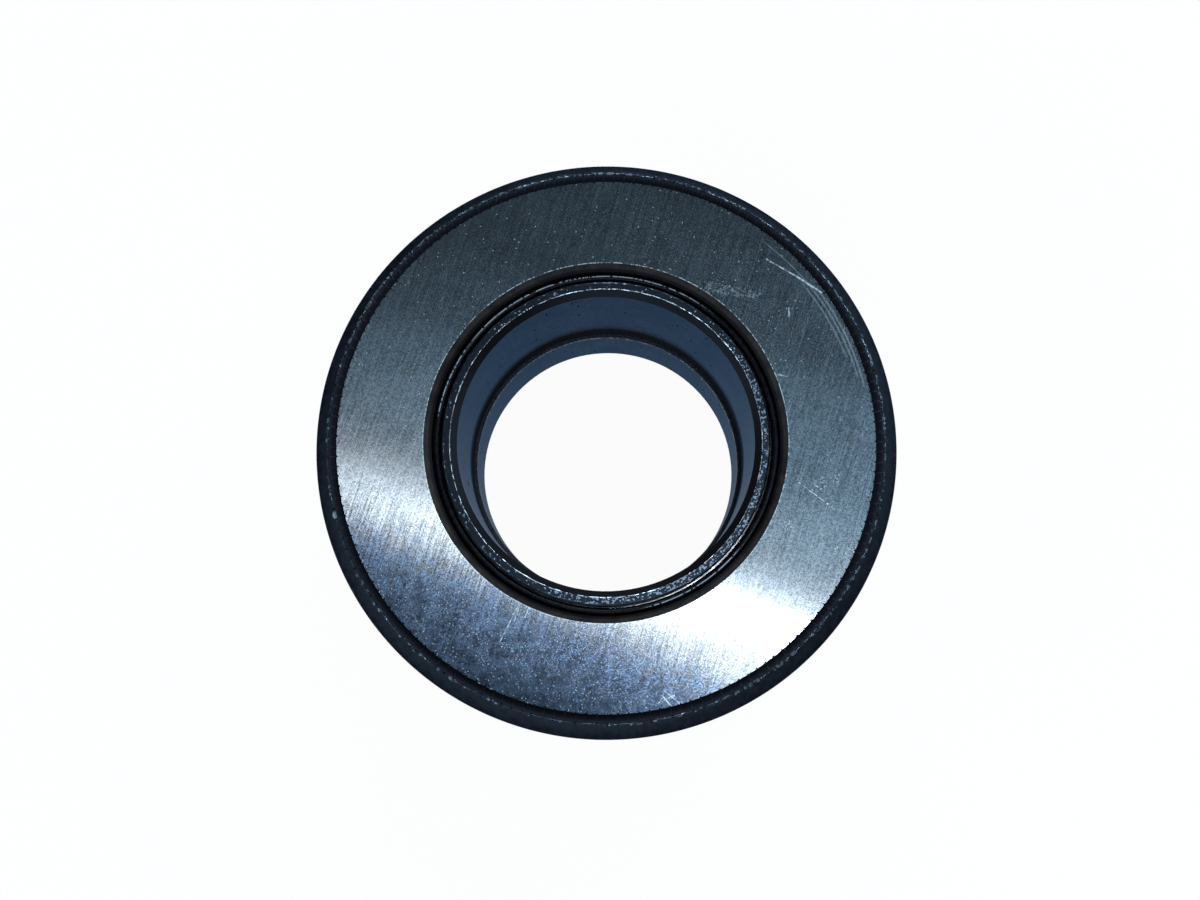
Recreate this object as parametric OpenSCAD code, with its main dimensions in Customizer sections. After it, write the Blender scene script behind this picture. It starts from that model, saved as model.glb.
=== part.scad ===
// Clutch release bearing: a thrust ball bearing on a guide sleeve.
// The sleeve slides on the gearbox guide tube and the fork pushes its flange.
// The ground face of the thrust ring turns with the clutch fingers.
// Z is the bearing axis, z = 0 is the rear end of the sleeve, the ground face is on top.

/* [Guide sleeve] */
// Bore that slides on the guide tube
guide_bore_d = 50; // [48:0.5:53]
// Height of the guide bore's land, measured from the rear end
guide_land_h = 14.2; // [8:0.1:24]
// Radial step from the guide bore out to the relieved bore above it
relief_step = 0.65; // [0.3:0.05:1.2]
// Wall of the sleeve's front tube
sleeve_wall = 2.525; // [2:0.025:4]
// Width of the flat on the sleeve's front end
end_land_w = 1.1; // [0.8:0.1:1.9]
// Broken outer edge of the sleeve's front end
end_break = 0.3; // [0.1:0.05:0.5]
// Height of the chamfer from the front end into the bore
end_chamfer_h = 1.2; // [0.6:0.1:2]
// How far the sleeve's front end lies below the ground face
end_recess = 1.25; // [0.6:0.05:2]
// Wall of the sleeve's rear tail
tail_wall = 5.5; // [4:0.1:7]
// Length of the rear tail
tail_h = 18; // [14:0.5:24]
// Distance across the two fork flats on the tail
fork_flats = 54; // [53.4:0.1:58]
// Thickness of the flange that the fork pushes
flange_t = 5.5; // [4:0.1:8]
// Reach of the flange beyond the tail
flange_reach = 6.5; // [4:0.1:7.5]
// Chamfer on the sleeve's outside edges and bore mouth
sleeve_chamfer = 0.8; // [0.4:0.1:1.2]

/* [Balls and cage] */
// Ball diameter
ball_d = 9.525; // [8.5:0.025:10.5]
// Number of balls
ball_count = 18; // [16:1:19]
// Angle of the contact line above the plane of the balls
contact_angle = 40; // [36:1:44]
// Running gap between a ball and each raceway
ball_play = 0.15; // [0.1:0.01:0.2]
// Sheet thickness of the cage
cage_t = 1.4; // [1:0.1:1.8]
// Cage rim left beyond the balls
cage_rim = 1.7; // [1.2:0.1:2]
// Gap between a ball and its pocket in the cage
pocket_play = 0.24; // [0.15:0.01:0.35]

/* [Inner ring] */
// Wall between the sleeve and the ball groove
inner_wall = 5.3; // [4.6:0.1:6.5]
// Floor between the flange and the ball groove
floor_t = 4.1; // [3.4:0.1:5]
// Reach of the lower rim beyond the ball circle
inner_rim_w = 1.1; // [0.6:0.1:1.6]
// Wall at the top of the inner ring
inner_top_wall = 3.8; // [3:0.1:4.2]

/* [Thrust ring] */
// Radial space between the sleeve and the ring's bore
seal_space = 1.725; // [1.3:0.025:2.2]
// Chamfer from the ground face into the ring's bore
bore_chamfer = 1.2; // [0.6:0.1:1.6]
// Height from the ball groove up to the ground face
crown_t = 5.575; // [5.2:0.025:7]
// Thickness of the plate under the ground face
plate_t = 4.4; // [3.6:0.1:4.6]
// Wall between the ball groove and the shell
skirt_wall = 5.6; // [4.6:0.1:7]
// Rear edge of the skirt above the flange's seat
skirt_rise = 2; // [1.4:0.1:2.6]
// Relief of the skirt's wall below the ball groove
skirt_relief = 1.3; // [0.8:0.1:2]

/* [Shell] */
// Sheet thickness of the shell
shell_t = 1.4; // [1:0.1:1.8]
// Outside radius of the shell's rounded shoulder
shoulder_r = 5.2; // [4.4:0.1:6]
// Reach of the front lip over the ring, inwards from the shell's inside wall
lip_w = 3; // [2.6:0.1:3.4]
// How far the top of the lip lies below the ground face
lip_drop = 0.2; // [0.1:0.05:0.5]
// Width of the lip's sloped top, from its inner edge out to the ridge
lip_top_w = 1.55; // [1.2:0.05:1.8]
// How far the lip's top slopes down to its inner edge
lip_slope = 0.4; // [0.1:0.05:0.6]
// Reach of the rear rolled edge
rear_lip_w = 2.6; // [1.6:0.1:3.6]
// Number of marks that the crimping wheel left round the lip
crimp_count = 166; // [120:1:180]
// Width of one mark
crimp_w = 0.4; // [0.3:0.05:0.8]
// Depth of one mark
crimp_depth = 0.3; // [0.2:0.05:0.6]
// How far each mark bites into the edge of the ground face
crimp_bite = 0.3; // [0.1:0.05:0.4]

/* [Seals] */
// Running gap between a seal and the piece it wipes
seal_gap = 0.3; // [0.2:0.05:0.4]
// Thickness of the front seal's flange under the plate
seal_flange_t = 1.1; // [0.8:0.1:1.3]
// Reach of the front seal's flange beyond the ring's bore
seal_flange_w = 3.1; // [2:0.1:3.3]
// Depth of the front seal's round crest below the ground face
crest_recess = 1.7; // [1.4:0.1:2.4]
// Sheet thickness of the rear shield
shield_t = 1.3; // [0.8:0.1:1.6]
// Radial space from the inner ring's rim to the rear shield
shield_space = 2; // [1.6:0.1:3]
// Rubber on each side of the shield's edge
rear_seal_t = 0.5; // [0.3:0.1:0.7]
// How far the rubber grips the shield
rear_seal_grip = 1.5; // [1:0.1:2]

/* [Hidden] */
$fn = 96;
// How far a cutter runs past what it cuts
over = 1;
// Gap between the inner ring's top and the front seal's flange
ring_gap = 0.5;
// How far the groove's edges reach inside the groove's own circle
groove_lip = 0.35;
// Where the thrust ring's groove ends, as an angle above the plane of the balls
groove_end = 72;
// Step from the ball circle in to the edge of the plate's flat underside
plate_step = 0.9;
// Gap between the rear shield and the shell's wall
shield_play = 0.1;
// Gap between the crimped lip and the edge of the ground face
lip_play = 0.05;
// How far the marks run past both ends of the lip's slope
mark_run = 0.5;

ball_r = ball_d / 2;
race_r = ball_r + ball_play;
guide_r = guide_bore_d / 2;
relief_r = guide_r + relief_step;
sleeve_r = relief_r + sleeve_wall;
tail_r = guide_r + tail_wall;
flange_r = tail_r + flange_reach;
pitch_r = sleeve_r + inner_wall + race_r;
skirt_r = pitch_r + race_r + skirt_wall;
shell_r = skirt_r + shell_t;
face_r = skirt_r - lip_w;
lip_r = face_r + lip_play;
ridge_r = lip_r + lip_top_w;
ring_bore_r = sleeve_r + seal_space;
inner_rim_r = pitch_r + inner_rim_w;
inner_top_r = sleeve_r + inner_top_wall;
shield_r = inner_rim_r + shield_space;
relief_wall_r = pitch_r + race_r + skirt_relief;

seat_z = tail_h + flange_t;
ball_z = seat_z + floor_t + race_r;
face_z = ball_z + race_r + crown_t;
plate_z = face_z - plate_t;
rim_z = face_z - lip_drop;
lip_seat_z = rim_z - shell_t;
sleeve_end_z = face_z - end_recess;
inner_top_z = plate_z - seal_flange_t - ring_gap;
skirt_z = seat_z + skirt_rise;
shield_z = skirt_z - shield_t;
shell_z = shield_z - shell_t;
cage_half = race_r + cage_rim;
// The shoulder is one arc from the lip's ridge down into the shell's wall
shoulder_in_r = shoulder_r - shell_t;
shoulder_mid_r = shell_r - shoulder_r;
shoulder_z = rim_z - sqrt(pow(shoulder_r, 2) - pow(ridge_r - shoulder_mid_r, 2));

function ball_name(k) = str("ball_", k < 10 ? "0" : "", k);
// A point of the half section, at an angle and distance from a ball's centre
function by_ball(angle, distance) =
    [pitch_r + distance * cos(angle), ball_z + distance * sin(angle)];

// The ball's groove in a half section
module race_cut() {
    translate(by_ball(0, 0)) circle(race_r);
}

// What rounding a convex corner takes away; sx and sz point from the corner into the section
module corner_cut(corner, radius, sx, sz) {
    translate(corner) mirror([sx < 0 ? 1 : 0, 0]) mirror([0, sz < 0 ? 1 : 0])
        difference() {
            translate([-over, -over]) square(radius + over);
            translate([radius, radius]) circle(radius);
        }
}

module around_rim(count) {
    for (k = [0:count - 1]) rotate([0, 0, k * 360 / count]) children();
}

// V-shaped cutter along +X, its edge lies depth below the X axis
module mark_cutter(width, depth, length) {
    flare = width / 2 * (depth + over) / depth;
    rotate([90, 0, 90]) linear_extrude(length)
        polygon([[0, -depth], [flare, over], [-flare, over]]);
}

// Stationary sleeve: guide bore, relieved bore, fork flange and tail with two flats
module hub_sleeve() {
    c = sleeve_chamfer;
    color("#3d444e") difference() {
        rotate_extrude() polygon([
            [guide_r + c, 0],
            [tail_r - c, 0],
            [tail_r, c],
            [tail_r, tail_h],
            [flange_r - c, tail_h],
            [flange_r, tail_h + c],
            [flange_r, seat_z - c],
            [flange_r - c, seat_z],
            [sleeve_r, seat_z],
            [sleeve_r, sleeve_end_z - end_break],
            [sleeve_r - end_break, sleeve_end_z],
            [sleeve_r - end_break - end_land_w, sleeve_end_z],
            [relief_r, sleeve_end_z - end_chamfer_h],
            [relief_r, guide_land_h],
            [guide_r, guide_land_h],
            [guide_r, c]
        ]);
        for (side = [-1, 1])
            translate([side * (fork_flats / 2 + tail_r / 2), 0, tail_h / 2])
                cube([tail_r, 2 * flange_r, tail_h], center = true);
    }
}

// Stationary race, pressed on the sleeve and seated on its flange
module inner_ring() {
    color("#8f959c") rotate_extrude() difference() {
        polygon([
            [sleeve_r, seat_z],
            [inner_rim_r, seat_z],
            [inner_rim_r, ball_z],
            by_ball(180, race_r - groove_lip),
            [inner_top_r, inner_top_z],
            [sleeve_r, inner_top_z]
        ]);
        race_cut();
    }
}

// Cone of sheet between the two rings, with a round pocket for each ball
module ball_cage() {
    tilt = contact_angle;
    along = cage_half * [-sin(tilt), cos(tilt)];
    through = cage_t / 2 * [cos(tilt), sin(tilt)];
    middle = by_ball(0, 0);
    color("#6d6a5c") difference() {
        rotate_extrude() polygon([
            middle + along + through,
            middle + along - through,
            middle - along - through,
            middle - along + through
        ]);
        around_rim(ball_count)
            translate([pitch_r, 0, ball_z]) rotate([0, 90 - tilt, 0])
                cylinder(r = ball_r + pocket_play, h = cage_t + 2 * ball_r, center = true);
    }
}

// Rotating race with the ground face that meets the clutch fingers
module thrust_ring() {
    bite_tilt = atan(crimp_depth / crimp_bite);
    // Seen square to its edge, the mark is this deep where it leaves the face
    bite_depth = crimp_bite * sin(bite_tilt);
    color("#b9bec4") difference() {
        rotate_extrude() difference() {
            polygon([
                [ring_bore_r, plate_z],
                [ring_bore_r, face_z - bore_chamfer],
                [ring_bore_r + bore_chamfer, face_z],
                [face_r, face_z],
                [face_r, lip_seat_z],
                [skirt_r, lip_seat_z],
                [skirt_r, skirt_z],
                [relief_wall_r, skirt_z],
                [relief_wall_r, ball_z - race_r + groove_lip],
                by_ball(0, race_r - groove_lip),
                by_ball(groove_end, race_r - groove_lip),
                [pitch_r - plate_step, plate_z]
            ]);
            race_cut();
            corner_cut([skirt_r, shoulder_z + shoulder_in_r], shoulder_in_r, -1, -1);
        }
        around_rim(crimp_count)
            translate([face_r - crimp_bite, 0, face_z]) rotate([0, bite_tilt, 0])
                translate([-over, 0, bite_depth])
                    mark_cutter(crimp_w, bite_depth, 2 * over);
    }
}

// Pressed shell that holds the bearing together: crimped lip in front, rolled edge behind
module outer_shell() {
    lip_z = rim_z - lip_slope;
    rear_lip_r = skirt_r - rear_lip_w;
    lip_rise = lip_slope / lip_top_w;
    lip_tilt = atan(lip_rise);
    color("#1d2530") difference() {
        rotate_extrude() difference() {
            polygon([
                [lip_r, shoulder_z],
                [lip_r, lip_z],
                [shell_r, lip_z + (shell_r - lip_r) * lip_rise],
                [shell_r, shell_z],
                [rear_lip_r, shell_z],
                [rear_lip_r, shield_z],
                [skirt_r, shield_z],
                [skirt_r, shoulder_z]
            ]);
            intersection() {
                translate([shoulder_mid_r, shoulder_z]) circle(shoulder_in_r);
                translate([lip_r - over, shoulder_z - over])
                    square([skirt_r - lip_r + 2 * over, lip_seat_z - shoulder_z + over]);
            }
            corner_cut([shell_r, shoulder_z + shoulder_r], shoulder_r, -1, -1);
            corner_cut([shell_r, shell_z], shell_t, -1, 1);
        }
        around_rim(crimp_count)
            translate([lip_r, 0, lip_z]) rotate([0, -lip_tilt, 0])
                translate([-mark_run, 0, 0])
                    mark_cutter(crimp_w, crimp_depth, lip_top_w + 2 * mark_run);
    }
}

// Rubber ring in the thrust ring's bore, with a round crest beside the sleeve
module front_seal() {
    inside_r = sleeve_r + seal_gap;
    crest_r = (ring_bore_r - inside_r) / 2;
    crest_z = face_z - crest_recess - crest_r;
    flange_z = plate_z - seal_flange_t;
    color("#15171a") rotate_extrude() union() {
        translate([inside_r, flange_z]) square([2 * crest_r, crest_z - flange_z]);
        translate([inside_r + crest_r, crest_z]) circle(crest_r);
        translate([inside_r, flange_z])
            square([ring_bore_r + seal_flange_w - inside_r, seal_flange_t]);
    }
}

// Sheet ring that closes the rear, held between the skirt and the shell's rolled edge
module rear_shield() {
    color("#2a3038") rotate_extrude()
        translate([shield_r, shield_z])
            square([skirt_r - shield_play - shield_r, shield_t]);
}

// Rubber bonded round the shield's inner edge, with a lip towards the inner ring
module rear_seal() {
    lip_inside_r = inner_rim_r + seal_gap;
    bead_r = shield_r - shield_space / 2 + seal_gap;
    bead_w = shield_r + rear_seal_grip - bead_r;
    color("#15171a") rotate_extrude() difference() {
        union() {
            translate([bead_r, shield_z - rear_seal_t])
                square([bead_w, shield_t + 2 * rear_seal_t]);
            translate([lip_inside_r, shield_z])
                square([bead_r + rear_seal_t - lip_inside_r, shield_t]);
        }
        translate([shield_r, shield_z]) square([rear_seal_grip + over, shield_t]);
    }
}

module ball(k) {
    color("#d5dade") rotate([0, 0, (k - 1) * 360 / ball_count])
        translate([pitch_r, 0, ball_z]) sphere(ball_r);
}

hub_sleeve();
inner_ring();
ball_cage();
thrust_ring();
outer_shell();
front_seal();
rear_shield();
rear_seal();
for (k = [1:ball_count]) ball(k);
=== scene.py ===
# %% [markdown]
# # A clutch release bearing
# The bearing stands on the rear end of its guide sleeve and we look down on its ground face.
# The solids come ready made from the frame, so this lesson is about finishes, light and small wear.
# Every length below is in metres, in the frame of the solids: +Z is the bearing axis.

# %% Load the frame
import math

import bpy
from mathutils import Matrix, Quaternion, Vector


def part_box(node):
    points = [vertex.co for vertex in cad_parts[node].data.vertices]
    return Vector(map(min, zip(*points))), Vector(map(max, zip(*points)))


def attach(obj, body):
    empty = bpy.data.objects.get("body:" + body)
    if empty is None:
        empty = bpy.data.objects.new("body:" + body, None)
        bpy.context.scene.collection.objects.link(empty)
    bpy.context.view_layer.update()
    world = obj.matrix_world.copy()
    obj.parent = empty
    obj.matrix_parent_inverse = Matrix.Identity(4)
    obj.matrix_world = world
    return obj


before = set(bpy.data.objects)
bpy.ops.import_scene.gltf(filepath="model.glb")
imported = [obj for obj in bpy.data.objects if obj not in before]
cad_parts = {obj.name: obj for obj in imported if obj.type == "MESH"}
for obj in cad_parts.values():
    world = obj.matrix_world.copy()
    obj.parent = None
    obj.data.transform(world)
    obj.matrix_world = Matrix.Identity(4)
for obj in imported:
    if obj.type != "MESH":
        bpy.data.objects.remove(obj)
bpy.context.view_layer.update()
MM = 0.001

# %% [markdown]
# ## Measure the solids
# A finish that changes from one zone to the next has to know where the zones are.
# We could type the radii in, but reading them from the solids keeps the looks tied to the shape.
# Nearly everything here is round, so a zone is a radius from the axis and a height along it.

# %% Measuring helpers


def points(node):
    """The points of a CAD node."""
    return [vertex.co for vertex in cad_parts[node].data.vertices]


def smallest_radius(some_points):
    """Distance from the axis to the nearest of some points."""
    return min(point.xy.length for point in some_points)


def ring_radii(node, height, tolerance=0.002 * MM):
    """Smallest and largest radius of a node's points at one height."""
    radii = [point.xy.length for point in points(node) if abs(point.z - height) < tolerance]
    return min(radii), max(radii)


print("points to measure:", sum(len(points(node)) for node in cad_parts))

# %% Measure the thrust ring and the shell
LIP_DEPTH = 0.6 * MM
LIP_EDGE = 0.02 * MM
face_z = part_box("thrust_ring")[1].z
face_in, face_out = ring_radii("thrust_ring", face_z)
ring_bore_r = smallest_radius(points("thrust_ring"))
shell_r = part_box("outer_shell")[1].x
ridge_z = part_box("outer_shell")[1].z
ridge_r = ring_radii("outer_shell", ridge_z)[1]
lip_points = [point for point in points("outer_shell") if point.z > ridge_z - LIP_DEPTH]
lip_in = smallest_radius(lip_points)
lip_low_z = max(point.z for point in lip_points if point.xy.length < lip_in + LIP_EDGE)
print(f"ground face {face_in / MM:.2f} to {face_out / MM:.2f} mm, ring bore {ring_bore_r / MM:.2f} mm")
print(f"crimped lip {lip_in / MM:.2f}, ridge {ridge_r / MM:.2f}, shell {shell_r / MM:.2f} mm")

# %% Measure the sleeve and the balls
LEDGE_EDGE = 0.05 * MM
sleeve_end_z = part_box("hub_sleeve")[1].z
end_in, end_out = ring_radii("hub_sleeve", sleeve_end_z)
guide_r = smallest_radius(points("hub_sleeve"))
ledge_z = max(point.z for point in points("hub_sleeve") if point.xy.length < guide_r + LEDGE_EDGE)
ball_low, ball_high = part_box("ball_01")
ball_r = (ball_high.z - ball_low.z) / 2
pitch_r = (ball_low.x + ball_high.x) / 2
ball_z = (ball_low.z + ball_high.z) / 2
print(f"sleeve end {end_in / MM:.2f} to {end_out / MM:.2f} mm at a height of {sleeve_end_z / MM:.2f} mm")
print(f"guide bore {guide_r / MM:.2f} mm up to a ledge at {ledge_z / MM:.2f} mm")
print(f"balls of radius {ball_r / MM:.2f} mm on a circle of radius {pitch_r / MM:.2f} mm")

# %% [markdown]
# ## The camera
# The photograph looks down at about 80 degrees from close by, so the bore shows its far wall.
# The lens follows from how fast the rings shrink with depth, and a small roll and shift frame it.
# The camera turns by a quaternion: one rotation aims it and a second one rolls it about its own axis.

# %% Place the camera
ELEVATION = math.radians(80.4)
ROLL = math.radians(-3.7)
CAMERA_DISTANCE = 218.4 * MM
LENS = 38.5
PHOTO_WIDTH = 1200
SHIFT_PIXELS_X = -5.6
SHIFT_PIXELS_Y = -11.1
aim = Vector((0, 0, face_z))
back = Vector((0, -math.cos(ELEVATION), math.sin(ELEVATION)))
bpy.ops.object.select_all(action="DESELECT")
bpy.ops.object.camera_add(location=aim + back * CAMERA_DISTANCE)
camera = bpy.context.object
camera.rotation_mode = "QUATERNION"
camera.rotation_quaternion = (-back).to_track_quat("-Z", "Y") @ Quaternion((0, 0, 1), ROLL)
camera.data.lens = LENS
camera.data.shift_x = SHIFT_PIXELS_X / PHOTO_WIDTH
camera.data.shift_y = SHIFT_PIXELS_Y / PHOTO_WIDTH
camera.data.clip_start = 10 * MM
bpy.context.scene.camera = camera
print("camera at", [round(v, 3) for v in camera.location])

# %% [markdown]
# ## The studio
# Ground steel shows whatever is overhead, so the lamps there are placed for the reflection they make.
# The grinding lines spread a reflection sideways and hardly lengthwise. A small lamp therefore becomes a
# bright band across the lines, and its place is given along and across them.
# A picture of a sky could light the scene too, but each lamp here can be moved by itself.

# %% Lamp helpers
GRIND_ANGLE = math.radians(68)
ALONG = Vector((math.cos(GRIND_ANGLE), math.sin(GRIND_ANGLE), 0))
ACROSS = Vector((math.sin(GRIND_ANGLE), -math.cos(GRIND_ANGLE), 0))
LAMP_RISE = 500 * MM
COOL = (0.66, 0.86, 1.0)
BRIGHT = (0.92, 0.96, 0.98)
SKY = (0.54, 0.80, 1.0)


def area_lamp(name, place, turn, size, radiance, colour):
    """A rectangular lamp of even brightness. The size is its width and height, turn its rotation.

    A flat lamp gives off pi times its radiance times its area.
    """
    bpy.ops.object.light_add(type="AREA", location=place)
    lamp = bpy.context.object
    lamp.name = name
    lamp.rotation_mode = "QUATERNION"
    lamp.rotation_quaternion = turn
    lamp.data.shape = "RECTANGLE"
    lamp.data.size, lamp.data.size_y = size
    lamp.data.energy = radiance * math.pi * size[0] * size[1]
    lamp.data.color = colour


def overhead(name, along, across, size, radiance, colour=COOL):
    """A lamp that looks straight down, square to the grinding lines. Lengths are in millimetres."""
    place = aim + ALONG * (along * MM) + ACROSS * (across * MM) + Vector((0, 0, LAMP_RISE))
    turn = Quaternion((0, 0, 1), GRIND_ANGLE - math.pi / 2)
    area_lamp(name, place, turn, (size[0] * MM, size[1] * MM), radiance, colour)


def side_panel(name, place, size, radiance):
    """A large panel that looks at the bearing from one side. Lengths are in metres."""
    turn = (aim - Vector(place)).to_track_quat("-Z", "Y")
    area_lamp(name, place, turn, size, radiance, COOL)


print("grinding lines run at", round(math.degrees(GRIND_ANGLE)), "degrees")

# %% [markdown]
# ## Lamps over the face
# A small bright lamp makes the band, and a wide one beside it makes the band flare on the right.
# The others are dim panels of sky. Each gives one stretch of the ring its soft tone, from the blue part
# below the band to the dark part at the top.

# %% Overhead lamps
overhead("band_lamp", 6, 40, (28, 14), 120, BRIGHT)
overhead("band_side", -22, 265, (160, 60), 7.8, BRIGHT)
overhead("glow", 45, 120, (320, 60), 0.6)
overhead("low_glow", -65, 60, (360, 50), 0.08, SKY)
overhead("left_glow", 70, -60, (160, 60), 0.42, SKY)
overhead("upper_glow", 110, 110, (300, 80), 0.26, SKY)
overhead("top_glow", 220, -20, (400, 90), 0.036, SKY)
overhead("right_glow", 155, 400, (160, 200), 1.85, SKY)
print("lamps over the face:", len(bpy.data.lights))

# %% [markdown]
# ## Panels round the bearing and the dim room
# The black shell and the bore face sideways, so they need light from the sides.
# The panels stand where the flat face can't mirror them towards the camera. One on the right and one
# behind are also low and slim, because the grinding lines spread what stands there furthest.
# The world adds a trace of cool light, and the Standard view shows colours about as they are written.

# %% Side panels and world
ROOM_LIGHT = 0.02
side_panel("front_panel", (-0.10, -0.75, 0.50), (0.80, 0.45), 4.3)
side_panel("back_panel", (0.25, 0.75, 0.50), (1.10, 0.45), 5.2)
side_panel("right_panel", (0.85, 0.10, 0.14), (0.90, 0.20), 5.4)
side_panel("left_panel", (-0.75, -0.27, 0.40), (0.80, 0.45), 3.4)
side_panel("back_low", (0.10, 0.85, 0.12), (0.90, 0.18), 1.2)
world = bpy.data.worlds.new("dim_room")
world.use_nodes = True
room = world.node_tree.nodes["Background"]
room.inputs["Color"].default_value = (*COOL, 1)
room.inputs["Strength"].default_value = ROOM_LIGHT
bpy.context.scene.world = world
bpy.context.scene.view_settings.view_transform = "Standard"
print("lamps in all:", len(bpy.data.lights))

# %% [markdown]
# ## Node helpers
# Every finish is built from nodes, so that it has no seams and stays sharp from close by.
# Nodes can be set one line at a time. A helper that adds, sets and links a node in one go is shorter, and a
# finish then reads as a list of layers.

# %% Nodes and finishes


def put(tree, kind, inputs=None, **settings):
    """Adds a node. A socket among the inputs is linked, anything else is set as the value."""
    made = tree.nodes.new(kind)
    for key, value in settings.items():
        setattr(made, key, value)
    for key, value in (inputs or {}).items():
        if isinstance(value, bpy.types.NodeSocket):
            tree.links.new(value, made.inputs[key])
        else:
            made.inputs[key].default_value = value
    return made


def new_finish(name, **values):
    """A material with one Principled shader. Its inputs are named with underscores for spaces."""
    finish = bpy.data.materials.new(name)
    finish.use_nodes = True
    shader = finish.node_tree.nodes["Principled BSDF"]
    for key, value in values.items():
        shader.inputs[key.replace("_", " ")].default_value = value
    return finish, finish.node_tree, shader


def wire(tree, shader, **sockets):
    """Links sockets to the shader's inputs, which are named with underscores for spaces."""
    for key, socket in sockets.items():
        tree.links.new(socket, shader.inputs[key.replace("_", " ")])


def dress(finish, *nodes):
    """Gives CAD nodes a finish."""
    for name in nodes:
        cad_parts[name].material_slots[0].material = finish


print("helpers made: put, new_finish, wire, dress")

# %% [markdown]
# ## Sums, ramps and masks
# A mask is a number from 0 to 1 that says how much of a layer shows at a point.
# Masks are made by comparing and ramping numbers. The largest of two masks joins them, and their product
# keeps what they share.

# %% Sums, ramps and masks


def calc(tree, operation, a, b=0.0):
    """One sum on two values or sockets."""
    return put(tree, "ShaderNodeMath", {0: a, 1: b}, operation=operation).outputs[0]


def between(tree, value, low, high, to_low=0.0, to_high=1.0):
    """Maps a value from one range to another with a soft, clamped ramp."""
    ends = {"Value": value, "From Min": low, "From Max": high, "To Min": to_low, "To Max": to_high}
    return put(tree, "ShaderNodeMapRange", ends, interpolation_type="SMOOTHSTEP").outputs["Result"]


def blend(tree, factor, a, b):
    """Mixes two colours."""
    return put(tree, "ShaderNodeMix", {0: factor, 6: a, 7: b}, data_type="RGBA").outputs[2]


def fade(tree, factor, a, b):
    """Mixes two numbers."""
    return put(tree, "ShaderNodeMix", {0: factor, 2: a, 3: b}, data_type="FLOAT").outputs[0]


def either(tree, *masks):
    """The largest of several masks."""
    joined = masks[0]
    for mask in masks[1:]:
        joined = calc(tree, "MAXIMUM", joined, mask)
    return joined


def both(tree, *masks):
    """The product of several masks."""
    joined = masks[0]
    for mask in masks[1:]:
        joined = calc(tree, "MULTIPLY", joined, mask)
    return joined


print("helpers made: calc, between, blend, fade, either, both")

# %% [markdown]
# ## Places and directions on a piece
# All patterns read Object coordinates, which for these solids are metres about the bearing axis.
# They turn with a piece when it spins. A pattern on the camera or the world would swim over it instead.
# A shading normal that leans a little makes a surface catch lamps that its true shape would miss.

# %% Places and directions


def vector(tree, operation, a, b=(0, 0, 0), output="Vector"):
    """One sum on two vectors. Its output is a Vector, or a Value for a length or a dot product."""
    return put(tree, "ShaderNodeVectorMath", {0: a, 1: b}, operation=operation).outputs[output]


def scaled(tree, colour, amount):
    """Multiplies a colour or a vector by a number."""
    made = put(tree, "ShaderNodeVectorMath", {0: colour, "Scale": amount}, operation="SCALE")
    return made.outputs[0]


def object_place(tree):
    """Position on the piece, in the frame of the solids."""
    return put(tree, "ShaderNodeTexCoord").outputs["Object"]


def flattened(tree, position):
    """A position pressed onto the plane across the bearing axis."""
    return vector(tree, "MULTIPLY", position, (1, 1, 0))


def axis_radius(tree, position):
    """Distance from the bearing axis."""
    return vector(tree, "LENGTH", flattened(tree, position), output="Value")


def axis_height(tree, position):
    """Height along the bearing axis."""
    return put(tree, "ShaderNodeSeparateXYZ", {0: position}).outputs["Z"]


def mapped(tree, position, stretch, turn=0.0):
    """Position turned about the bearing axis, then stretched."""
    turned = put(tree, "ShaderNodeMapping", {"Vector": position, "Rotation": (0, 0, turn)})
    return vector(tree, "MULTIPLY", turned.outputs[0], stretch)


def to_world(tree, direction):
    """A direction on the piece, as a direction in the scene."""
    turned = put(tree, "ShaderNodeVectorTransform", {0: direction}, vector_type="VECTOR",
                 convert_from="OBJECT", convert_to="WORLD")
    return turned.outputs[0]


def leaned(tree, lean):
    """The surface normal with a lean, which is given in the frame of the piece."""
    normal = put(tree, "ShaderNodeNewGeometry").outputs["Normal"]
    return vector(tree, "NORMALIZE", vector(tree, "ADD", normal, to_world(tree, lean)))


print("helpers made: vector, scaled, mapped, to_world, leaned and the places on a piece")

# %% [markdown]
# ## Patterns
# Clouds, cells and dots are all that the finishes need. Noise gives clouds and, stretched, long lines.
# Voronoi cells give metal grain, and a dot in some of the cells gives specks and pits.
# Their scales are in repeats per metre, so 5000 means grains about 0.2 mm wide.

# %% Patterns


def noise(tree, place, scale, detail=3.0, roughness=0.5):
    """Cloud noise between 0 and 1, about 0.5 on average."""
    settings = {"Vector": place, "Scale": scale, "Detail": detail, "Roughness": roughness}
    return put(tree, "ShaderNodeTexNoise", settings).outputs["Fac"]


def cells(tree, place, scale):
    """A grid of small irregular cells, each with its own number from 0 to 1."""
    made = put(tree, "ShaderNodeTexVoronoi", {"Vector": place, "Scale": scale})
    return put(tree, "ShaderNodeSeparateXYZ", {0: made.outputs["Color"]}).outputs["X"]


def flecks(tree, place, scale, above):
    """Some cells of a grid: 1 in the cells whose number is above a limit and 0 in the others."""
    return calc(tree, "GREATER_THAN", cells(tree, place, scale), above)


def specks(tree, place, scale, size, share):
    """Small round dots, one in a share of the cells of a grid: 1 inside a dot and 0 outside."""
    spots = put(tree, "ShaderNodeTexVoronoi", {"Vector": place, "Scale": scale})
    chosen = put(tree, "ShaderNodeSeparateXYZ", {0: spots.outputs["Color"]})
    dot = between(tree, spots.outputs["Distance"], size, size * 0.5)
    return both(tree, dot, calc(tree, "LESS_THAN", chosen.outputs["X"], share))


def emboss(tree, shader, relief, strength, depth, **normal):
    """Presses a relief into the shading normal, on top of another Normal where one is given."""
    settings = {"Height": relief, "Strength": strength, "Distance": depth, **normal}
    bump = put(tree, "ShaderNodeBump", settings)
    wire(tree, shader, Normal=bump.outputs[0])


print("helpers made: noise, cells, flecks, specks, emboss")

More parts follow.
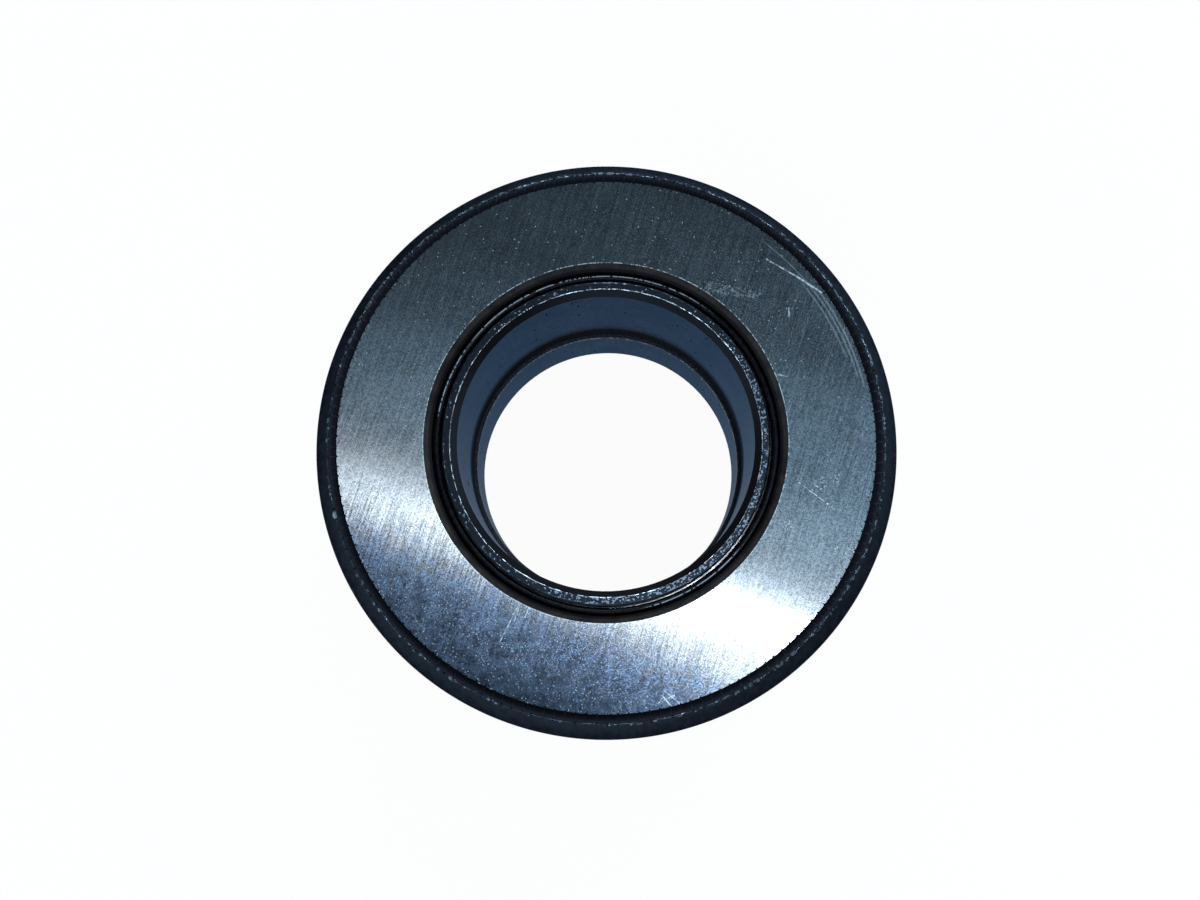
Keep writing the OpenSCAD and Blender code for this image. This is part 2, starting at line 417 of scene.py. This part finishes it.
# %% [markdown]
# ## Marks
# The face has a few scratches. A scratch is a line between two points, and its mask is the distance to it.
# Arcs near the rim are rub marks, each a thin ring that shows over a short angle only.
# They could be painted on a picture, but a formula needs no picture and stays sharp.

# %% Marks at a place


def spot(tree, position, place, size):
    """A small round mark about a point, both in millimetres: 1 inside and 0 outside."""
    gap = vector(tree, "DISTANCE", position, Vector(place) * MM, output="Value")
    return between(tree, gap, size * MM, size * 0.5 * MM)


def scratch(tree, position, start, end, width):
    """Mask of a straight scratch on the face between two points in millimetres."""
    start, end = Vector((*start, 0)) * MM, Vector((*end, 0)) * MM
    heading = (end - start).normalized()
    reach = vector(tree, "SUBTRACT", flattened(tree, position), start)
    run = vector(tree, "DOT_PRODUCT", reach, heading, output="Value")
    run = put(tree, "ShaderNodeClamp", {"Value": run, "Min": 0.0, "Max": (end - start).length}).outputs[0]
    gap = vector(tree, "DISTANCE", reach, scaled(tree, heading, run), output="Value")
    return between(tree, gap, width * MM, width * 0.4 * MM)


def sector(tree, position, middle, half_angle):
    """Mask of a sector about the axis, given by its middle and half angle in degrees."""
    unit = vector(tree, "NORMALIZE", flattened(tree, position))
    towards = Vector((math.cos(math.radians(middle)), math.sin(math.radians(middle)), 0))
    facing = vector(tree, "DOT_PRODUCT", unit, towards, output="Value")
    edge = math.cos(math.radians(half_angle))
    return between(tree, facing, edge, (1 + edge) / 2)


def circle(tree, radius, ring_r, width):
    """Mask of a thin line round the axis: 1 on the circle, fading to 0 at the width."""
    gap = calc(tree, "ABSOLUTE", calc(tree, "SUBTRACT", radius, ring_r))
    return between(tree, gap, width, width * 0.3)


def rub_arc(tree, position, radius, arc_r, middle, half_angle, width):
    """Mask of an arc round the axis. Arc radius and width are in millimetres, angles in degrees."""
    line = circle(tree, radius, arc_r * MM, width * MM)
    return both(tree, sector(tree, position, middle, half_angle), line)


print("helpers made: spot, scratch, sector, circle, rub_arc")

# %% [markdown]
# ## The thrust ring and its zones
# The face was ground flat in one direction. The rest of the ring kept its brown-black skin from hardening.
# One material with masks keeps the edge between them sharp, where two materials would need a cut mesh.
# Fine parallel lines spread a reflection across themselves: the shader's anisotropy does that, with its
# tangent across the lines. The lower part of the face is stained, up to a wandering edge.

# %% Zones of the thrust ring
STAIN_ANGLE = math.radians(63)
STAIN_WAY = Vector((math.cos(STAIN_ANGLE), math.sin(STAIN_ANGLE), 0))
STAIN_START = -26.5 * MM
STAIN_FULL = -35.5 * MM
STAIN_WANDER = 16 * MM
finish, tree, shader = new_finish("ground_steel", Anisotropic=1.0, Specular_IOR_Level=0.1)
position = object_place(tree)
radius = axis_radius(tree, position)
height = axis_height(tree, position)
wire(tree, shader, Tangent=to_world(tree, ACROSS))
ground = both(tree, between(tree, radius, face_in - 0.02 * MM, face_in + 0.02 * MM),
              between(tree, height, face_z - 0.05 * MM, face_z - 0.01 * MM))
clouds = noise(tree, position, 420, detail=5.0, roughness=0.65)
uphill = vector(tree, "DOT_PRODUCT", position, STAIN_WAY, output="Value")
wander = calc(tree, "MULTIPLY", calc(tree, "SUBTRACT", clouds, 0.5), STAIN_WANDER)
stained = between(tree, calc(tree, "ADD", uphill, wander), STAIN_START, STAIN_FULL)
print(f"stain from {STAIN_START / MM:.1f} to {STAIN_FULL / MM:.1f} mm,",
      f"on a line at {math.degrees(STAIN_ANGLE):.0f} degrees")

# %% [markdown]
# ## Grinding lines and grain
# The wheel left short fine streaks and longer, fainter lines. Both are patterns stretched along the lines.
# Between them lies metal grain, and single grains get painted sparkles, more of them in the stain.
# The inner edge of the face is chipped, and its glints are painted as small bright dots.

# %% Grinding lines and grain
STREAK_STRETCH = (200, 11500, 1)
LINE_STRETCH = (70, 1800, 1)
SMUDGE_STRETCH = (70, 160, 1)
SMUDGE_TURN = 0.3
streaks = cells(tree, mapped(tree, position, STREAK_STRETCH, -GRIND_ANGLE), 1.0)
long_lines = noise(tree, mapped(tree, position, LINE_STRETCH, -GRIND_ANGLE), 1.0)
grain = cells(tree, position, 5500)
smudges = noise(tree, mapped(tree, position, SMUDGE_STRETCH, SMUDGE_TURN), 1.0)
pits = specks(tree, position, 900, size=0.10, share=0.10)
# Painted glints: single grains turned bright.
sparkles = flecks(tree, position, 7500, above=fade(tree, stained, 0.9985, 0.982))
edge_chip_glints = both(tree, circle(tree, radius, face_in + 0.06 * MM, 0.12 * MM),
                 flecks(tree, position, 3500, above=0.45))
print(f"streaks about {1000 / STREAK_STRETCH[1]:.2f} mm wide and {1000 / STREAK_STRETCH[0]:.0f} mm long")

# %% [markdown]
# ## Scratches on the face
# These marks follow the photograph in place and kind: a long bent scratch, short nicks, arcs rubbed by the
# clutch fingers, a pale smear and a few pricked spots whose glints are painted.
# A real scratch is broken, so cloud noise lets it come and go along its length.

# %% Scratches on the face
SCRATCHES = [((30.0, 29.8), (35.0, 26.3), 0.18), ((35.0, 26.3), (38.9, 23.2), 0.25),
             ((33.1, 21.0), (33.0, 19.3), 0.16), ((29.9, 9.3), (31.6, 8.8), 0.16),
             ((-16.4, -27.3), (-19.7, -33.0), 0.12), ((-16.0, -27.0), (-17.1, -29.7), 0.12),
             ((-14.4, -27.4), (-15.3, -29.2), 0.12), ((6.5, -43.2), (8.0, -45.2), 0.14),
             ((5.5, -44.6), (8.6, -43.4), 0.10), ((7.0, -42.6), (9.4, -44.8), 0.10)]
FAINT_SCRATCH = ((32.1, -9.6), (37.6, -14.5), 0.10)
SMEAR = ((19.7, 25.5), (27.8, 23.4), 1.2)
RUB_ARCS = [(43.65, 25, 11, 0.22), (44.45, 22, 14, 0.22), (45.10, 20, 14, 0.25), (44.40, 41, 8, 0.14)]
PRICKED_GLINTS = [(38.4, -9.2, 1.3), (35.8, -10.1, 1.5), (29.8, -16.7, 1.2), (37.6, -21.2, 1.3),
           (40.1, -22.0, 1.5)]
cuts = either(tree, *(scratch(tree, position, *line) for line in SCRATCHES))
cuts = both(tree, cuts, between(tree, noise(tree, position, 1800, detail=1.0), 0.40, 0.55, 0.4, 1.0))
faint = both(tree, scratch(tree, position, *FAINT_SCRATCH),
             between(tree, noise(tree, position, 1500, detail=1.0), 0.42, 0.60, 0.0, 0.7))
# Pricked spots with painted glints in them.
pricked_glints = either(tree, *(spot(tree, position, (x, y, face_z / MM), size) for x, y, size in PRICKED_GLINTS))
pricked_glints = both(tree, pricked_glints, flecks(tree, position, 5000, above=0.90))
rubs = either(tree, *(rub_arc(tree, position, radius, *arc) for arc in RUB_ARCS))
smear = both(tree, scratch(tree, position, *SMEAR), between(tree, grain, 0.5, 0.9))
worn = either(tree, cuts, faint, pricked_glints, calc(tree, "MULTIPLY", rubs, 0.3),
              calc(tree, "MULTIPLY", smear, 0.4))
print("scratches:", len(SCRATCHES) + 1, "rub marks:", len(RUB_ARCS), "pricked spots:", len(PRICKED_GLINTS))

# %% [markdown]
# ## Colour of the ground steel
# Layers go on from the broad to the fine: two steel tones along the lines, the stain and its dark patches,
# then streaks, grain and smudges that lighten or darken what is there, and pits and painted glints last.
# A single colour with more bump would look like plastic, because real ground steel differs in reflectance.

# %% Colour of the ground steel
STEEL_DARK = (0.48, 0.55, 0.62, 1)
STEEL_LIGHT = (0.60, 0.67, 0.74, 1)
STAIN_BLUE = (0.25, 0.40, 0.69, 1)
STAIN_PATCH = (0.10, 0.145, 0.22, 1)
PIT_GREY = (0.10, 0.12, 0.15, 1)
GLINT = (0.84, 0.94, 1.0, 1)
steel = blend(tree, between(tree, long_lines, 0.3, 0.7), STEEL_DARK, STEEL_LIGHT)
steel = blend(tree, calc(tree, "MULTIPLY", stained, 0.85), steel, STAIN_BLUE)
patches = both(tree, between(tree, clouds, 0.43, 0.63), fade(tree, stained, 0.06, 0.68))
steel = blend(tree, patches, steel, STAIN_PATCH)
lined = both(tree, calc(tree, "SUBTRACT", streaks, 0.5), fade(tree, stained, 0.55, 0.30))
grainy = both(tree, calc(tree, "SUBTRACT", grain, 0.5), fade(tree, stained, 0.85, 1.35))
smudged = calc(tree, "MULTIPLY", calc(tree, "SUBTRACT", smudges, 0.5), 0.5)
shade = calc(tree, "ADD", calc(tree, "ADD", lined, grainy), smudged)
steel = scaled(tree, steel, calc(tree, "ADD", shade, 1.0))
steel = blend(tree, calc(tree, "MULTIPLY", pits, 0.7), steel, PIT_GREY)
glints = either(tree, worn, edge_chip_glints, sparkles)
steel = blend(tree, glints, steel, GLINT)
print("steel from", STEEL_DARK[:3], "to", STEEL_LIGHT[:3])

# %% [markdown]
# ## Skin and raceway
# The chamfer and the bore of the ring kept a matt, brown-black skin, with painted shade that darkens it
# down in the bore.
# The groove for the balls is polished. It is found by its distance from a ball's centre, so the mask keeps
# to the groove whatever its depth.
# Painted glints and pale scratches scatter light and mirror less of the studio, so they count as half
# metal.

# %% Skin and raceway
SKIN_DARK = (0.016, 0.014, 0.017, 1)
SKIN_BROWN = (0.037, 0.029, 0.026, 1)
RACEWAY_STEEL = (0.55, 0.58, 0.62, 1)
skin = blend(tree, between(tree, clouds, 0.35, 0.65), SKIN_DARK, SKIN_BROWN)
# Painted shade: the skin darkens towards the ring's bore, where the gap lies in shadow.
skin_painted_shade = between(tree, radius, ring_bore_r + 0.25 * MM, ring_bore_r + 0.60 * MM, 0.2, 1.0)
skin = scaled(tree, skin, skin_painted_shade)
sideways = calc(tree, "POWER", calc(tree, "SUBTRACT", radius, pitch_r), 2.0)
upwards = calc(tree, "POWER", calc(tree, "SUBTRACT", height, ball_z), 2.0)
from_ball = calc(tree, "SQRT", calc(tree, "ADD", sideways, upwards))
raceway = between(tree, from_ball, ball_r + 0.30 * MM, ball_r + 0.22 * MM)
unground = blend(tree, raceway, skin, RACEWAY_STEEL)
unground_rough = fade(tree, raceway, 0.9, 0.2)
half_metal = calc(tree, "MULTIPLY", both(tree, ground, glints), 0.5)
wire(tree, shader, Base_Color=blend(tree, ground, unground, steel),
     Roughness=fade(tree, ground, unground_rough, fade(tree, streaks, 0.225, 0.255)),
     Metallic=calc(tree, "SUBTRACT", either(tree, ground, raceway), half_metal))
print(f"raceway round a ball circle of {pitch_r / MM:.2f} mm")

# %% [markdown]
# ## Relief of the lines
# The grinding wheel pressed unevenly, so each streak dips a little along its length.
# Leaning the normal streak by streak frays the bright band into fine lines. A bump alone can't do that when
# the streaks are finer than a pixel.
# A weak bump adds the long lines, the pits and the scratches.

# %% Relief of the lines
lean = both(tree, ground, calc(tree, "SUBTRACT", streaks, 0.5), fade(tree, stained, 0.011, 0.004))
relief = calc(tree, "SUBTRACT", calc(tree, "MULTIPLY", long_lines, 0.4), either(tree, worn, pits))
emboss(tree, shader, relief, 0.25, 0.02 * MM, Normal=leaned(tree, scaled(tree, ALONG, lean)))
dress(finish, "thrust_ring")
print("thrust ring dressed with", len(tree.nodes), "nodes")

# %% [markdown]
# ## The black shell
# The shell is pressed sheet with a dull black oxide that looks navy under cool light.
# Oxide on steel is a dark metal with no bright sheen at its edge, so the edge tint is dark too.
# Handling has rubbed the ridge bare in places; there are more of them at the top right than at the lower
# left, as painted shade on that side.

# %% Oxide and ridge
OXIDE_DARK = (0.015, 0.017, 0.023, 1)
OXIDE_LIGHT = (0.021, 0.025, 0.033, 1)
OXIDE_GRAIN = (0.045, 0.053, 0.065, 1)
RIDGE_PAINTED_SHEEN = (0.030, 0.036, 0.046, 1)
RUBBED_STEEL = (0.28, 0.33, 0.38, 1)
PAINTED_DIM_SIDE = 225
PAINTED_DIM_HALF_ANGLE = 75
NICK_PLACE = (-46.4, -10.0)
NICK_SIZE = 0.8
finish, tree, shader = new_finish("black_shell", Metallic=1.0, Specular_Tint=(0.25, 0.30, 0.36, 1))
position = object_place(tree)
radius = axis_radius(tree, position)
height = axis_height(tree, position)
cloud = noise(tree, mapped(tree, position, (900, 900, 250)), 1.0, detail=4.0)
grain = noise(tree, position, 4000, detail=2.0)
oxide = blend(tree, between(tree, cloud, 0.35, 0.65), OXIDE_DARK, OXIDE_LIGHT)
oxide = blend(tree, between(tree, grain, 0.55, 0.8, 0.0, 0.5), oxide, OXIDE_GRAIN)
on_ridge = both(tree, circle(tree, radius, ridge_r, 0.45 * MM),
                between(tree, height, ridge_z - 0.5 * MM, ridge_z - 0.3 * MM))
# Painted shade: the lower-left side gets fewer bare spots.
dim_sector = sector(tree, position, PAINTED_DIM_SIDE, PAINTED_DIM_HALF_ANGLE)
rubbed = both(tree, on_ridge, flecks(tree, position, 2500, above=fade(tree, dim_sector, 0.75, 0.93)))
nick = spot(tree, position, (*NICK_PLACE, ridge_z / MM), NICK_SIZE)
# Painted sheen: a band of lighter oxide along the ridge.
oxide = blend(tree, calc(tree, "MULTIPLY", on_ridge, 0.3), oxide, RIDGE_PAINTED_SHEEN)
oxide = blend(tree, either(tree, calc(tree, "MULTIPLY", rubbed, 0.6), nick), oxide, RUBBED_STEEL)
print(f"ridge at radius {ridge_r / MM:.2f} mm, one nick on its left")

# %% [markdown]
# ## The crimped lip
# A serrated wheel rolled the lip down round the face. Its teeth are nearly black, and painted light makes
# the notches between them a little lighter where they lie in shade. A painted sheen lightens the lip
# towards the ridge.
# The notches are real cuts in the solid: a point below the lip's slope must be in a notch, so the mask
# needs no count of teeth.

# %% Crimped lip
LIP_OUTER_PAINTED_SHEEN = (0.026, 0.028, 0.040, 1)
LIP_INNER = (0.013, 0.013, 0.019, 1)
NOTCH_PAINTED_LIGHT = (0.13, 0.135, 0.165, 1)
LIP_ROUGHNESS = 0.65
lip = both(tree, between(tree, radius, ridge_r - 0.10 * MM, ridge_r - 0.25 * MM),
           between(tree, height, ridge_z - 1.2 * MM, ridge_z - 1.0 * MM))
lip_surface = between(tree, radius, lip_in, ridge_r, lip_low_z, ridge_z)
notch = between(tree, calc(tree, "SUBTRACT", lip_surface, height), 0.08 * MM, 0.16 * MM)
inwards = between(tree, radius, lip_in + 1.25 * MM, lip_in + 0.8 * MM)
# Painted light: lighter notches, and a painted sheen towards the ridge.
lip_black = blend(tree, notch, blend(tree, inwards, LIP_OUTER_PAINTED_SHEEN, LIP_INNER), NOTCH_PAINTED_LIGHT)
satin = between(tree, cloud, 0.3, 0.7, 0.58, 0.68)
wire(tree, shader, Base_Color=blend(tree, lip, oxide, lip_black),
     Roughness=fade(tree, lip, satin, LIP_ROUGHNESS))
emboss(tree, shader, grain, 0.2, 0.01 * MM)
dress(finish, "outer_shell", "rear_shield")
print(f"lip slopes from {lip_low_z / MM:.2f} to {ridge_z / MM:.2f} mm")

# %% [markdown]
# ## The bore of the sleeve
# The bore is smooth and satin, slate blue with tiny dark specks.
# We see it at a grazing angle, where a metal shows its edge tint more than its base colour, so the tint
# carries the blue.

# %% Bore of the sleeve
SLATE_DARK = (0.038, 0.042, 0.053, 1)
SLATE_LIGHT = (0.046, 0.051, 0.064, 1)
SPECK_BLACK = (0.006, 0.008, 0.012, 1)
UPRIGHT_STRETCH = (1, 1, 0.3)
MARK_PLACE = (-25.3, -4.0, 28.0)
MARK_SIZE = 0.8
finish, tree, shader = new_finish("sleeve_steel", Roughness=0.38, Specular_IOR_Level=0.15,
                                  Specular_Tint=(0.39, 0.49, 0.645, 1))
position = object_place(tree)
radius = axis_radius(tree, position)
height = axis_height(tree, position)
inside = calc(tree, "LESS_THAN", radius, end_in)
grain = cells(tree, position, 4000)
slate = blend(tree, between(tree, noise(tree, position, 160), 0.3, 0.7), SLATE_DARK, SLATE_LIGHT)
slate = scaled(tree, slate, fade(tree, grain, 0.65, 1.35))
dots = specks(tree, mapped(tree, position, UPRIGHT_STRETCH), 850, size=0.17, share=0.30)
mark = spot(tree, position, MARK_PLACE, MARK_SIZE)
slate = blend(tree, either(tree, calc(tree, "MULTIPLY", dots, 0.8), mark), slate, SPECK_BLACK)
print(f"what lies inside radius {end_in / MM:.2f} mm counts as bore")

# %% [markdown]
# ## The ledge in the bore
# A turned step divides the relieved bore from the guide land below it. Painted shade darkens the wall
# softly towards the step, and the land's worn edge carries painted glints as pale dots.
# The soft dark band is painted shade, a ramp over height, because so shallow a step throws no shadow that
# wide.

# %% Ledge in the bore
LEDGE_PAINTED_SHADE = (0.022, 0.027, 0.037, 1)
LEDGE_WORN_PAINTED_GLINT = (0.07, 0.085, 0.11, 1)
# Painted shade: a dark band over the ledge, fading upwards.
shade_band_over_ledge = both(tree, between(tree, height, ledge_z + 8.0 * MM, ledge_z + 2.5 * MM),
                  calc(tree, "GREATER_THAN", height, ledge_z + 0.02 * MM), inside)
slate = blend(tree, shade_band_over_ledge, slate, LEDGE_PAINTED_SHADE)
# Painted glints: pale dots on the worn edge of the land.
ledge_edge = both(tree, between(tree, height, ledge_z - 1.4 * MM, ledge_z - 0.7 * MM),
                  calc(tree, "LESS_THAN", radius, guide_r + 0.10 * MM),
                  calc(tree, "LESS_THAN", height, ledge_z),
                  flecks(tree, mapped(tree, position, UPRIGHT_STRETCH), 3200, above=0.6))
slate = blend(tree, ledge_edge, slate, LEDGE_WORN_PAINTED_GLINT)
print(f"ledge in the bore at {ledge_z / MM:.1f} mm")

# %% [markdown]
# ## Front end, chamfer and outside of the sleeve
# The front end was cut off roughly, and its grains carry painted glints, most at the lower right, where the
# band lamp is mirrored.
# The chamfer inside it is nearly black and matt. The outside shows fine turning lines, which are noise
# squeezed along the axis.

# %% Front end, chamfer and outside
TURNED_DARK = (0.055, 0.064, 0.080, 1)
TURNED_LIGHT = (0.085, 0.098, 0.118, 1)
CHAMFER_BLACK = (0.006, 0.005, 0.006, 1)
CUT_DARK = (0.030, 0.038, 0.054, 1)
CUT_PAINTED_GLINT = (0.30, 0.39, 0.52, 1)
GLINT_SIDE = -42
GLINT_HALF_ANGLE = 88
turning = noise(tree, mapped(tree, position, (150, 150, 7000)), 1.0, detail=2.0)
turned_steel = blend(tree, between(tree, turning, 0.3, 0.7), TURNED_DARK, TURNED_LIGHT)
outside = between(tree, radius, end_in - 0.3 * MM, end_in)
at_chamfer = both(tree, between(tree, height, sleeve_end_z - 1.3 * MM, sleeve_end_z - 1.2 * MM), inside)
on_end = between(tree, height, sleeve_end_z - 0.03 * MM, sleeve_end_z - 0.01 * MM)
surface = blend(tree, at_chamfer, blend(tree, outside, slate, turned_steel), CHAMFER_BLACK)
# Painted glints: bright grains on the front end, most on the lower-right side.
glint_side = sector(tree, position, GLINT_SIDE, GLINT_HALF_ANGLE)
painted_glint_grain = calc(tree, "GREATER_THAN", grain, fade(tree, glint_side, 0.98, 0.75))
cut_end = blend(tree, painted_glint_grain, CUT_DARK, CUT_PAINTED_GLINT)
matt = either(tree, both(tree, at_chamfer, calc(tree, "SUBTRACT", 1.0, on_end)), ledge_edge,
              both(tree, on_end, painted_glint_grain, 0.4))
wire(tree, shader, Base_Color=blend(tree, on_end, surface, cut_end),
     Metallic=calc(tree, "SUBTRACT", 1.0, matt))
print(f"front end {(end_out - end_in) / MM:.2f} mm wide, brightest at {GLINT_SIDE} degrees")

# %% [markdown]
# ## Lean of the bore wall
# A true cylinder mirrors only what stands low on the other side, and its specks would vanish in that sheen.
# A small lean of the normal towards the front lets the wall see the sky, and a larger one darkens the
# specks and the band over the ledge. The rough end gets a strong bump from its grain, the bore hardly any.

# %% Lean of the bore wall
WALL_LEAN = 0.08
SPECK_LEAN = 0.7
speckled = either(tree, shade_band_over_ledge, both(tree, either(tree, dots, mark), inside))
lean = either(tree, calc(tree, "MULTIPLY", speckled, SPECK_LEAN),
              calc(tree, "MULTIPLY", inside, WALL_LEAN))
lean = put(tree, "ShaderNodeCombineXYZ", {"Z": lean}).outputs[0]
coarse = both(tree, grain, fade(tree, on_end, 0.02, 1.0))
emboss(tree, shader, coarse, 0.6, 0.05 * MM, Normal=leaned(tree, lean))
dress(finish, "hub_sleeve")
print("sleeve dressed with", len(tree.nodes), "nodes")

# %% [markdown]
# ## Rubber of the seals
# The front seal fills the gap between the ring and the sleeve with a smooth black crest.
# Painted highlights: grey dots on three stretches of the crest stand in for its glint. Dust clouds change
# how glossy the rubber is.
# One material serves both seals: the height of the crest picks out the front one, so no second is needed.

# %% Rubber of the seals
RUBBER_BLACK = (0.002, 0.002, 0.004, 1)
RUBBER_DUSTY = (0.006, 0.006, 0.010, 1)
CREST_PAINTED_GLINT = (0.40, 0.45, 0.52, 1)
GLINT_SECTORS = [(95, 50), (155, 14), (-62, 20)]
crest_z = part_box("front_seal")[1].z
crest_r = sum(ring_radii("front_seal", crest_z)) / 2
finish, tree, shader = new_finish("seal_rubber", Specular_IOR_Level=0.22)
position = object_place(tree)
radius = axis_radius(tree, position)
height = axis_height(tree, position)
dust = noise(tree, position, 900, detail=4.0)
rubber = blend(tree, between(tree, dust, 0.4, 0.8), RUBBER_BLACK, RUBBER_DUSTY)
crest = both(tree, circle(tree, radius, crest_r, 0.12 * MM),
             calc(tree, "GREATER_THAN", height, crest_z - 0.1 * MM),
             flecks(tree, position, 2500, above=0.20))
# Painted highlight: the crest's glint on three stretches.
glint_stretches = either(tree, *(sector(tree, position, *stretch) for stretch in GLINT_SECTORS))
wire(tree, shader, Base_Color=blend(tree, both(tree, crest, glint_stretches), rubber, CREST_PAINTED_GLINT),
     Roughness=between(tree, dust, 0.3, 0.7, 0.20, 0.34))
dress(finish, "front_seal", "rear_seal")
print(f"seal crest at radius {crest_r / MM:.2f} mm")

# %% [markdown]
# ## Inner race, cage and balls
# These are hidden inside, but they show from behind and when the bearing is taken apart.
# The race has fine turning lines, the cage a thin film of oil and the balls a polish with smears of grease.
# Each finish is one pattern that drives both colour and roughness, so the two always agree.

# %% Inner race
RACE_DARK = (0.34, 0.36, 0.39, 1)
RACE_LIGHT = (0.52, 0.54, 0.57, 1)
finish, tree, shader = new_finish("race_steel", Metallic=1.0)
turning = noise(tree, mapped(tree, object_place(tree), (300, 300, 9000)), 1.0, detail=2.0)
wire(tree, shader, Base_Color=blend(tree, turning, RACE_DARK, RACE_LIGHT),
     Roughness=between(tree, turning, 0.3, 0.7, 0.22, 0.36))
dress(finish, "inner_ring")
print("inner race dressed")

# %% Cage
CAGE_BROWN = (0.17, 0.15, 0.12, 1)
CAGE_PALE = (0.33, 0.30, 0.25, 1)
finish, tree, shader = new_finish("cage_steel", Metallic=1.0)
film = noise(tree, object_place(tree), 350, detail=4.0)
wire(tree, shader, Base_Color=blend(tree, between(tree, film, 0.3, 0.7), CAGE_BROWN, CAGE_PALE),
     Roughness=between(tree, film, 0.3, 0.7, 0.38, 0.55))
dress(finish, "ball_cage")
print("cage dressed")

# %% Balls
BALL_STEEL = (0.70, 0.72, 0.75, 1)
BALL_GREASE = (0.42, 0.38, 0.30, 1)
finish, tree, shader = new_finish("ball_steel", Metallic=1.0)
grease = noise(tree, object_place(tree), 500)
wire(tree, shader, Base_Color=blend(tree, between(tree, grease, 0.5, 0.8), BALL_STEEL, BALL_GREASE),
     Roughness=between(tree, grease, 0.45, 0.8, 0.05, 0.25))
balls = [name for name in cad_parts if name.startswith("ball_") and name != "ball_cage"]
dress(finish, *balls)
print("balls dressed:", len(balls))

# %% [markdown]
# ## Finish of the burrs
# Cutting and crimping left thin raised burrs on the edges. Where they were touched they are bare and glint,
# elsewhere they are oxidised, so cells choose one or the other along the wire.
# The burr on the ridge has the same painted shade: less of it is bare on the lower left.

# %% Finish of the burrs
BURR_OXIDE = (0.05, 0.06, 0.075, 1)
PAINTED_DIM_SHARE = 0.2


def burr_finish(name, share, bright, dim_side_angle=None):
    """Bare metal on a share of the wire and dark oxide on the rest, more oxide on a dim side as painted
    shade.
    """
    finish, tree, shader = new_finish(name, Metallic=1.0)
    position = object_place(tree)
    patches = cells(tree, position, 2600)
    if dim_side_angle is not None:
        dim_sector = sector(tree, position, dim_side_angle, PAINTED_DIM_HALF_ANGLE)
        share = fade(tree, dim_sector, share, share * PAINTED_DIM_SHARE)
    bare = calc(tree, "LESS_THAN", patches, share)
    wire(tree, shader, Base_Color=blend(tree, bare, BURR_OXIDE, bright),
         Roughness=fade(tree, patches, 0.22, 0.45))
    return finish


bright_burr = burr_finish("bright_burr", 0.80, (0.80, 0.84, 0.90, 1))
dull_burr = burr_finish("dull_burr", 0.15, (0.24, 0.26, 0.28, 1))
ridge_finish = burr_finish("ridge_burr", 0.25, (0.28, 0.33, 0.40, 1), dim_side_angle=PAINTED_DIM_SIDE)
print("burr finishes:", bright_burr.name, dull_burr.name, ridge_finish.name)

# %% [markdown]
# ## Burrs on the cut edges
# Each burr is a fine ragged wire of metal on an edge, with a glint here and there.
# A bump can't give an edge its own outline, so the burrs are pieces. A torus is the right start:
# randomising its points breaks the wire into facets that catch the lamps at different places.

# %% Burr rings
BURR_T = 0.06 * MM
BURR_SIDES = 6
END_SEGMENTS = 720
RIDGE_SEGMENTS = 996
RIDGE_SINK = 0.02 * MM


def burr_ring(name, body, finish, ring_r, ring_z, segments, seed):
    """A ragged wire of metal round an edge."""
    bpy.ops.object.select_all(action="DESELECT")
    bpy.ops.mesh.primitive_torus_add(location=(0, 0, ring_z), major_radius=ring_r, minor_radius=BURR_T,
                                     major_segments=segments, minor_segments=BURR_SIDES)
    ring = bpy.context.object
    ring.name = name
    bpy.ops.object.transform_apply(location=True, rotation=True, scale=True)
    bpy.ops.object.mode_set(mode="EDIT")
    bpy.ops.mesh.select_all(action="SELECT")
    bpy.ops.transform.vertex_random(offset=BURR_T * 0.5, uniform=1.0, normal=0.0, seed=seed)
    bpy.ops.object.mode_set(mode="OBJECT")
    bpy.ops.object.shade_flat()
    ring.data.materials.append(finish)
    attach(ring, body)
    return ring


end_burrs = [burr_ring("end_burr_inner", "hub", bright_burr, end_in, sleeve_end_z, END_SEGMENTS, 1),
             burr_ring("end_burr_outer", "hub", dull_burr, end_out, sleeve_end_z, END_SEGMENTS, 2)]
sunk_ridge_z = ridge_z - RIDGE_SINK
ridge_burr = burr_ring("ridge_burr", "ring", ridge_finish, ridge_r, sunk_ridge_z, RIDGE_SEGMENTS, 3)
print("burr triangles:", sum(2 * len(ring.data.polygons) for ring in (*end_burrs, ridge_burr)))

# %% [markdown]
# ## The floor
# The floor is plain white paper. More light on it would also light the bearing, so it glows instead, and
# only for rays that come from the camera, from a mirror or through glass.
# A small share of ordinary paper stays under the glow and takes the bearing's shadow.

# %% Floor
FLOOR_SIZE = 6
PAPER_WHITE = (0.95, 0.96, 0.97, 1)
GLOW_SHARE = 0.96
bpy.ops.object.select_all(action="DESELECT")
bpy.ops.mesh.primitive_plane_add(size=FLOOR_SIZE)
floor = bpy.context.object
floor.name = "floor"
finish, tree, shader = new_finish("white_paper", Base_Color=PAPER_WHITE, Roughness=0.9)
path = put(tree, "ShaderNodeLightPath")
seen = either(tree, *(path.outputs[f"Is {kind} Ray"] for kind in ("Camera", "Glossy", "Transmission")))
glow = put(tree, "ShaderNodeEmission", {"Color": (1, 1, 1, 1), "Strength": 1.0})
paper = put(tree, "ShaderNodeMixShader", {0: calc(tree, "MULTIPLY", seen, GLOW_SHARE),
                                          1: shader.outputs[0], 2: glow.outputs[0]})
tree.links.new(paper.outputs[0], tree.nodes["Material Output"].inputs["Surface"])
floor.data.materials.append(finish)
print("floor is", FLOOR_SIZE, "m wide")
